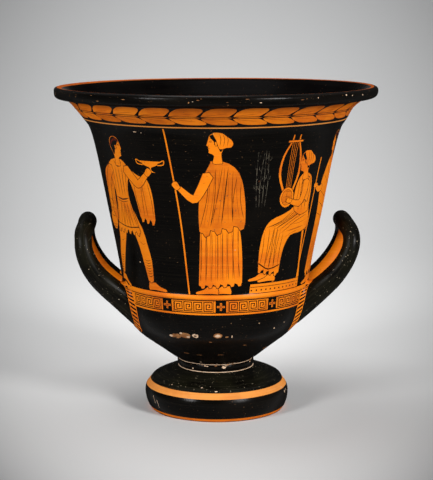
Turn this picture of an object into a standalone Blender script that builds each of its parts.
"""Calyx krater: a wheel-thrown wine-mixing bowl with two loop handles, fired in one piece.

Metres, +Z up. The foot stands on z = 0 and the vessel's axis is the Z axis. The handles rise
from the bowl towards +X and -X. The vessel is hollow: a solid of the outer form has the handles
joined to it, and then the inside is cut out, so that no handle root shows in the bowl.
"""
import math

import bmesh
import bpy
from mathutils import Vector

# Turned body ------------------------------------------------------------------------------
HEIGHT = 0.400                  # foot ring to lip
LIP_RADIUS = 0.1972             # the widest point, on the overhanging lip
WALL = 0.0078                   # thickness of the thrown wall, square to its surface
FLOOR = 0.0720                  # height of the inside of the bowl on the axis
FLOOR_RIM = (0.0350, 0.0760)    # where the dished floor starts to climb to the bowl's side
CUTTER_RISE = 0.0200            # how far the solid that empties the bowl stands above the lip
SEGMENTS = 72                   # sides of every turned surface

# Foot: a thick disc with a rounded side, hollowed below so that it stands on a ring
FOOT_RING_INNER = 0.0660
FOOT_RING_OUTER = 0.0826
FOOT_HOLLOW = [(0.0000, 0.0520), (0.0230, 0.0490), (0.0370, 0.0360), (0.0480, 0.0160),
               (FOOT_RING_INNER, 0.0000)]
FOOT_RING = [(FOOT_RING_INNER, 0.0000), (FOOT_RING_OUTER, 0.0000)]
FOOT_SIDE = [(FOOT_RING_OUTER, 0.0000), (0.0860, 0.0052), (0.0882, 0.0120), (0.0893, 0.0205),
             (0.0884, 0.0285)]
FOOT_SHOULDER = [(0.0884, 0.0285), (0.0826, 0.0352)]
FOOT_TOP = [(0.0826, 0.0352), (0.0762, 0.0402), (0.0650, 0.0462), (0.0475, 0.0520)]

# Stem: a low ring between two incised grooves
STEM = [(0.0475, 0.0520), (0.0460, 0.0532), (0.0472, 0.0550), (0.0474, 0.0600), (0.0462, 0.0620),
        (0.0474, 0.0636)]

# Bowl: a cone that rounds over to the moulding below the wall
BOWL = [(0.0474, 0.0636), (0.0545, 0.0680), (0.0650, 0.0766), (0.0780, 0.0868), (0.0905, 0.0968),
        (0.1010, 0.1080), (0.1075, 0.1220), (0.1108, 0.1385), (0.1128, 0.1556)]
MOULDING = [(0.1128, 0.1556), (0.1152, 0.1570), (0.1160, 0.1595), (0.1150, 0.1628)]

# Wall: nearly straight, then flaring ever faster to the lip
WALL_RUN = [(0.1150, 0.1628), (0.1216, 0.2030), (0.1290, 0.2420), (0.1370, 0.2828), (0.1455, 0.3235),
            (0.1526, 0.3490), (0.1600, 0.3606), (0.1750, 0.3790)]

# Lip: a thick band that overhangs the wall
LIP_UNDER = [(0.1750, 0.3790), (0.1850, 0.3822), (0.1938, 0.3862), (LIP_RADIUS, 0.3925)]
LIP_TOP = [(LIP_RADIUS, 0.3925), (0.1965, 0.3965), (0.1938, 0.3990), (0.1900, HEIGHT)]
LIP_INSIDE = [(0.1900, HEIGHT), (0.1860, 0.3988), (0.1800, 0.3945), (0.1720, 0.3850)]

# Handles ----------------------------------------------------------------------------------
# One limb's centre line, from inside the bowl's wall to the top of the arch, as
# (distance from the axis, height, distance from the handle's middle plane, radius of the rod).
# The arch then closes over the gap, so the last three stations keep the gap at the arch's foot.
ARCH_HALF_GAP = 0.0450
LIMB = [(0.0810, 0.1120, 0.0350, 0.0120), (0.0925, 0.1250, 0.0362, 0.0146),
        (0.1155, 0.1448, 0.0385, 0.0148), (0.1375, 0.1650, 0.0415, 0.0133),
        (0.1525, 0.1850, 0.0440, 0.0117), (0.1610, 0.2050, ARCH_HALF_GAP, 0.0107),
        (0.1619, 0.2220, ARCH_HALF_GAP, 0.0104), (0.1560, 0.2338, ARCH_HALF_GAP, 0.0104)]
ARCH_SQUARENESS = 2.8           # 2 is a half circle, and more is squarer
ROD_SIDES = 12
LIMB_RINGS = 8
ARCH_RINGS = 10                 # from one end of the arch to the other

# Black gloss, which covers most of the vessel
BLACK_GLOSS = (0.016, 0.015, 0.014, 1.0)
GLOSS_ROUGHNESS = 0.28

SHARP_EDGE = math.radians(40)   # edges that bend more than this are shaded as edges
ON_AXIS = 1e-6                  # a profile point nearer the axis than this is a pole
FINE_STEPS = 16                 # points from one station of a limb to the next, for measuring along it


def smooth_run(stations, steps):
    """Points of a smooth curve through the stations, with this many steps from each to the next."""
    run = [Vector(p) for p in stations]
    padded = [2 * run[0] - run[1]] + run + [2 * run[-1] - run[-2]]
    points = []
    for before, start, end, after in zip(padded, padded[1:], padded[2:], padded[3:]):
        leave = (end - before) / 2
        arrive = (after - start) / 2
        for step in range(steps):
            t = step / steps
            points.append((2 * t**3 - 3 * t**2 + 1) * start + (t**3 - 2 * t**2 + t) * leave
                          + (3 * t**2 - 2 * t**3) * end + (t**3 - t**2) * arrive)
    return points + [run[-1]]


def chain(*runs):
    """Join runs whose ends meet into one list of points."""
    points = [Vector(p) for p in runs[0]]
    for run in runs[1:]:
        points += [Vector(p) for p in run[1:]]
    return points


def offset_inward(points, distance):
    """The run moved towards the vessel's axis, square to itself. The run climbs."""
    moved = []
    for index, point in enumerate(points):
        along = points[min(index + 1, len(points) - 1)] - points[max(index - 1, 0)]
        square = Vector((-along.y, along.x)).normalized()
        moved.append(point + distance * square)
    return moved


def outer_profile():
    """The outline of the filled vessel from the middle of the underside up to the middle of the top."""
    foot = chain(FOOT_HOLLOW, FOOT_RING, FOOT_SIDE, FOOT_SHOULDER, FOOT_TOP)
    return chain(foot, STEM, BOWL, MOULDING, WALL_RUN, LIP_UNDER, LIP_TOP, [LIP_TOP[-1], (0.0, HEIGHT)])


def inner_profile():
    """The outline of the space inside, from the floor's middle to above the lip."""
    bowl = offset_inward(chain(BOWL[3:-1]), WALL)
    wall = offset_inward(chain(WALL_RUN[:-1]), WALL)
    floor = smooth_run([(0.0, FLOOR), FLOOR_RIM, bowl[0]], 2)
    top = HEIGHT + CUTTER_RISE
    above = [Vector((LIP_INSIDE[0][0], top)), Vector((0.0, top))]
    return chain(floor, bowl) + wall + chain(LIP_INSIDE[::-1]) + above


def turned_object(name, profile):
    """A solid of revolution about Z from an outline that climbs from the axis back to the axis."""
    mesh = bpy.data.meshes.new(name)
    shape = bmesh.new()
    rings = []
    for point in profile:
        if point.x < ON_AXIS:
            rings.append([shape.verts.new((0.0, 0.0, point.y))])
            continue
        turn = [math.tau * k / SEGMENTS for k in range(SEGMENTS)]
        rings.append([shape.verts.new((point.x * math.cos(a), point.x * math.sin(a), point.y))
                      for a in turn])
    for low, high in zip(rings, rings[1:]):
        for k in range(SEGMENTS):
            after = (k + 1) % SEGMENTS
            if len(low) == 1:
                shape.faces.new((low[0], high[after], high[k]))
            elif len(high) == 1:
                shape.faces.new((low[k], low[after], high[0]))
            else:
                shape.faces.new((low[k], low[after], high[after], high[k]))
    bmesh.ops.recalc_face_normals(shape, faces=shape.faces[:])
    shape.to_mesh(mesh)
    shape.free()
    turned = bpy.data.objects.new(name, mesh)
    bpy.context.scene.collection.objects.link(turned)
    return turned


def limb_run():
    """Closely spaced stations of a limb, each with its distance along the limb in side view."""
    fine = smooth_run(LIMB, FINE_STEPS)
    length = [0.0]
    for before, after in zip(fine, fine[1:]):
        length.append(length[-1] + (after.xy - before.xy).length)
    return list(zip(length, fine))


def station_at(run, wanted):
    """The station of a limb this far along it."""
    for (start, before), (end, after) in zip(run, run[1:]):
        if end >= wanted:
            return before.lerp(after, (wanted - start) / (end - start))
    return run[-1][1]


def handle_centre_line():
    """Centre points and rod radii of the +X handle, from one root over the arch to the other."""
    run = limb_run()
    arch_start = run[-1][0] - ARCH_HALF_GAP
    line = []
    for k in range(LIMB_RINGS):
        x, z, gap, rod = station_at(run, arch_start * k / LIMB_RINGS)
        line.append((Vector((x, -gap, z)), rod))
    for k in range(ARCH_RINGS // 2 + 1):
        turn = math.pi * k / ARCH_RINGS
        climb = math.sin(turn) ** (2 / ARCH_SQUARENESS)
        inset = max(0.0, math.cos(turn)) ** (2 / ARCH_SQUARENESS)
        x, z, gap, rod = station_at(run, arch_start + ARCH_HALF_GAP * climb)
        line.append((Vector((x, -gap * inset, z)), rod))
    line[-1][0].y = 0.0
    far_side = [(Vector((spot.x, -spot.y, spot.z)), rod) for spot, rod in line[-2::-1]]
    return line + far_side


def handle_object(name, side):
    """A closed rod swept along the handle's centre line, on the +X side (1) or the -X side (-1)."""
    line = [(Vector((side * spot.x, side * spot.y, spot.z)), rod) for spot, rod in handle_centre_line()]
    mesh = bpy.data.meshes.new(name)
    shape = bmesh.new()
    rings = []
    lean = Vector((0.0, 0.0, 1.0))
    for index, (spot, rod) in enumerate(line):
        along = (line[min(index + 1, len(line) - 1)][0] - line[max(index - 1, 0)][0]).normalized()
        across = (lean - lean.dot(along) * along).normalized() if index else along.orthogonal().normalized()
        lean = across
        up = along.cross(across)
        rings.append([shape.verts.new(spot + rod * (math.cos(a) * across + math.sin(a) * up))
                      for a in (math.tau * k / ROD_SIDES for k in range(ROD_SIDES))])
    for low, high in zip(rings, rings[1:]):
        for k in range(ROD_SIDES):
            after = (k + 1) % ROD_SIDES
            shape.faces.new((low[k], low[after], high[after], high[k]))
    shape.faces.new(rings[0][::-1])
    shape.faces.new(rings[-1])
    bmesh.ops.recalc_face_normals(shape, faces=shape.faces[:])
    shape.to_mesh(mesh)
    shape.free()
    handle = bpy.data.objects.new(name, mesh)
    bpy.context.scene.collection.objects.link(handle)
    return handle


def black_gloss():
    """The fired slip that covers the vessel."""
    material = bpy.data.materials.new("black_gloss")
    material.use_nodes = True
    shader = material.node_tree.nodes["Principled BSDF"]
    shader.inputs["Base Color"].default_value = BLACK_GLOSS
    shader.inputs["Roughness"].default_value = GLOSS_ROUGHNESS
    shader.inputs["Metallic"].default_value = 0.0
    return material


def combine(target, tool, operation):
    """Join a tool to the target or cut it out, and keep the tool as a hidden guide."""
    step = target.modifiers.new(f"{operation.lower()}_{tool.name}", "BOOLEAN")
    step.operation = operation
    step.solver = "EXACT"
    step.object = tool
    tool.hide_render = True
    tool.display_type = "WIRE"


def build_krater():
    """The whole vessel as one object."""
    krater = turned_object("krater", outer_profile())
    for name, side in (("handle_right", 1), ("handle_left", -1)):
        combine(krater, handle_object(name, side), "UNION")
    combine(krater, turned_object("inside", inner_profile()), "DIFFERENCE")
    krater.data.materials.append(black_gloss())
    krater.data.shade_smooth()
    krater.data.set_sharp_from_angle(angle=SHARP_EDGE)
    return krater


for leftover in list(bpy.data.objects):
    bpy.data.objects.remove(leftover, do_unlink=True)
build_krater()
